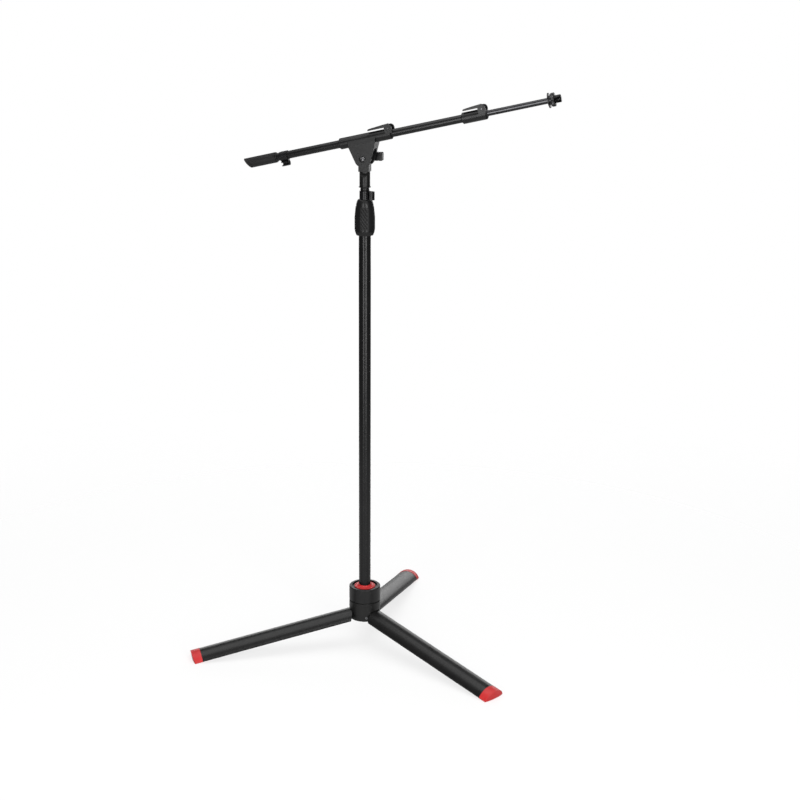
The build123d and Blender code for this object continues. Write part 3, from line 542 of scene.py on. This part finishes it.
def flared_ring():
    """Red ring on the hub: a bead round its foot and a flare that rises to the pole."""
    node = "hub_ring"
    low, high = span(node, MAST)
    outer = radius(node, MAST)
    bore = min(math.hypot(p.x, p.y) for p in local_points(node, MAST))
    top_r = bore + FLARE_WALL
    bead_r = outer - BEAD / 2
    profile = [(bore, low), (outer - BEAD_FOOT, low)]
    for step in range(FLARE_STEPS + 1):
        turn = math.pi * (step / FLARE_STEPS - 0.5)
        side_r = bead_r + BEAD / 2 * math.cos(turn)
        profile.append((side_r, low + BEAD_MIDDLE + BEAD / 2 * math.sin(turn)))
    start_r, start_z = bead_r - FLARE_START[0], low + FLARE_START[1]
    for step in range(FLARE_STEPS + 1):
        turn = math.pi / 2 * step / FLARE_STEPS
        flare_r = start_r + (top_r - start_r) * math.sin(turn)
        profile.append((flare_r, start_z + (high - start_z) * (1 - math.cos(turn))))
    profile.append((bore, high))
    mesh = turned(profile, FLARE_SEGMENTS)
    piece("flared_ring", mesh, MAST, "base", "red_rubber", [node])


# ---------------------------------------------------------------- studio and camera
CAMERA_AZIMUTH = 16.17  # degrees round from the front
CAMERA_PITCH = 16.14  # degrees below level
CAMERA_DISTANCE = 3.2004  # from the mast's axis, on the ground
CAMERA_HEIGHT = 1.4874
CAMERA_LENS = 70.2
CAMERA_SHIFT = 0.044
CAMERA_REACH = 60.0  # nothing further away is drawn


def around_camera(angle, distance, height):
    """Place on the ground plan at an angle from the camera's own azimuth, at a height."""
    turn = math.radians(CAMERA_AZIMUTH + angle)
    return distance * math.sin(turn), -distance * math.cos(turn), height


def add_camera():
    """Camera at the photograph's angle and distance."""
    turn = math.radians(CAMERA_AZIMUTH)
    pitch = math.radians(CAMERA_PITCH)
    camera = bpy.data.objects.new("camera", bpy.data.cameras.new("camera"))
    bpy.context.scene.collection.objects.link(camera)
    camera.location = around_camera(0, CAMERA_DISTANCE, CAMERA_HEIGHT)
    level = math.cos(pitch)
    look = Vector((-math.sin(turn) * level, math.cos(turn) * level, -math.sin(pitch)))
    camera.rotation_euler = look.to_track_quat("-Z", "Y").to_euler()
    camera.data.lens = CAMERA_LENS
    camera.data.shift_x = CAMERA_SHIFT
    camera.data.clip_end = CAMERA_REACH
    bpy.context.scene.camera = camera


STRIP_DISTANCE, STRIP_HEIGHT, STRIP_AIM = 3.0, 1.0, 0.8
STRIPS = (  # name, degrees from the camera, width and height, watts
    ("strip_left", -21, (0.75, 2.6), 27),
    ("strip_right", 24, (0.85, 2.6), 33),
)
TOP_HEIGHT, TOP_AIM = 3.2, 0.0
TOP_SIZE, TOP_POWER = (3.0, 3.0), 34
BACK_DISTANCE, BACK_HEIGHT, BACK_AIM = 3.2, 0.93, 0.7
BACK_SIZE, BACK_POWER = (4.5, 1.45), 34


def add_softbox(name, place, aim_height, size, power):
    """Rectangular soft light aimed at a height on the mast's axis."""
    lamp = bpy.data.lights.new(name, "AREA")
    lamp.shape = "RECTANGLE"
    lamp.size, lamp.size_y = size
    lamp.energy = power
    thing = bpy.data.objects.new(name, lamp)
    bpy.context.scene.collection.objects.link(thing)
    thing.location = place
    aim = Vector((0.0, 0.0, aim_height)) - Vector(place)
    thing.rotation_euler = aim.to_track_quat("-Z", "Y").to_euler()
    thing.visible_camera = False


WORLD_SIDE = (0.07, 0.07, 0.07)
WORLD_TOP = (0.25, 0.25, 0.25)


def add_world():
    """Dim surroundings, brighter overhead; the camera sees plain white."""
    world = bpy.data.worlds.new("studio")
    bpy.context.scene.world = world
    world.use_nodes = True
    tree = world.node_tree
    make, link = tree.nodes.new, tree.links.new
    seen = tree.nodes["Background"]
    seen.inputs["Color"].default_value = (1.0, 1.0, 1.0, 1.0)
    seen.inputs["Strength"].default_value = 1.0
    lit = make("ShaderNodeBackground")
    lit.inputs["Strength"].default_value = 1.0
    split = make("ShaderNodeSeparateXYZ")
    link(make("ShaderNodeTexCoord").outputs["Generated"], split.inputs["Vector"])
    overhead = spread(make, link, split.outputs["Z"], 0.0, 1.0, 0.0, 1.0)
    link(tones(make, link, overhead, WORLD_SIDE, WORLD_TOP, 0.3, 0.95), lit.inputs["Color"])
    mix = make("ShaderNodeMixShader")
    link(make("ShaderNodeLightPath").outputs["Is Camera Ray"], mix.inputs["Fac"])
    link(lit.outputs["Background"], mix.inputs[1])
    link(seen.outputs["Background"], mix.inputs[2])
    link(mix.outputs["Shader"], tree.nodes["World Output"].inputs["Surface"])


FLOOR_SIZE = 5.0
FLOOR_DROP = 0.2 * MM  # keeps the floor clear of the feet
FLOOR_VEIL = 0.6  # share of the floor that is see-through
FLOOR_GLOW = 0.4  # keeps the floor near white
FLOOR_FADE = (0.9, 1.9)  # the floor fades out between these distances from the mast


def add_floor():
    """Pale, partly see-through floor that fades out: legs folded below it stay in sight."""
    mesh = bmesh.new()
    bmesh.ops.create_grid(mesh, x_segments=8, y_segments=8, size=FLOOR_SIZE / 2)
    data = bpy.data.meshes.new("floor")
    mesh.to_mesh(data)
    mesh.free()
    floor = bpy.data.objects.new("floor", data)
    bpy.context.scene.collection.objects.link(floor)
    floor.location.z = -FLOOR_DROP
    material, make, link, shader = nodes_of("pale_floor")
    shader.inputs["Base Color"].default_value = (0.95, 0.95, 0.95, 1.0)
    shader.inputs["Roughness"].default_value = 0.9
    shader.inputs["Specular IOR Level"].default_value = 0.1
    shader.inputs["Emission Color"].default_value = (1.0, 1.0, 1.0, 1.0)
    shader.inputs["Emission Strength"].default_value = FLOOR_GLOW
    away = make("ShaderNodeVectorMath")
    away.operation = "LENGTH"
    link(make("ShaderNodeTexCoord").outputs["Object"], away.inputs[0])
    solid = spread(make, link, away.outputs["Value"], 1.0 - FLOOR_VEIL, 0.0, *FLOOR_FADE)
    link(solid, shader.inputs["Alpha"])
    data.materials.append(material)


def add_studio():
    """White studio: two tall strips beside the camera, a broad top light, a low light behind."""
    bpy.context.scene.view_settings.view_transform = "Standard"
    add_world()
    add_floor()
    for name, angle, size, power in STRIPS:
        place = around_camera(angle, STRIP_DISTANCE, STRIP_HEIGHT)
        add_softbox(name, place, STRIP_AIM, size, power)
    add_softbox("top", (0.0, 0.0, TOP_HEIGHT), TOP_AIM, TOP_SIZE, TOP_POWER)
    behind = around_camera(180, BACK_DISTANCE, BACK_HEIGHT)
    add_softbox("back", behind, BACK_AIM, BACK_SIZE, BACK_POWER)


dress_cad_nodes()
grip_panels()
rear_grip()
mic_thread()
knurled_ring()
flared_ring()
add_studio()
add_camera()
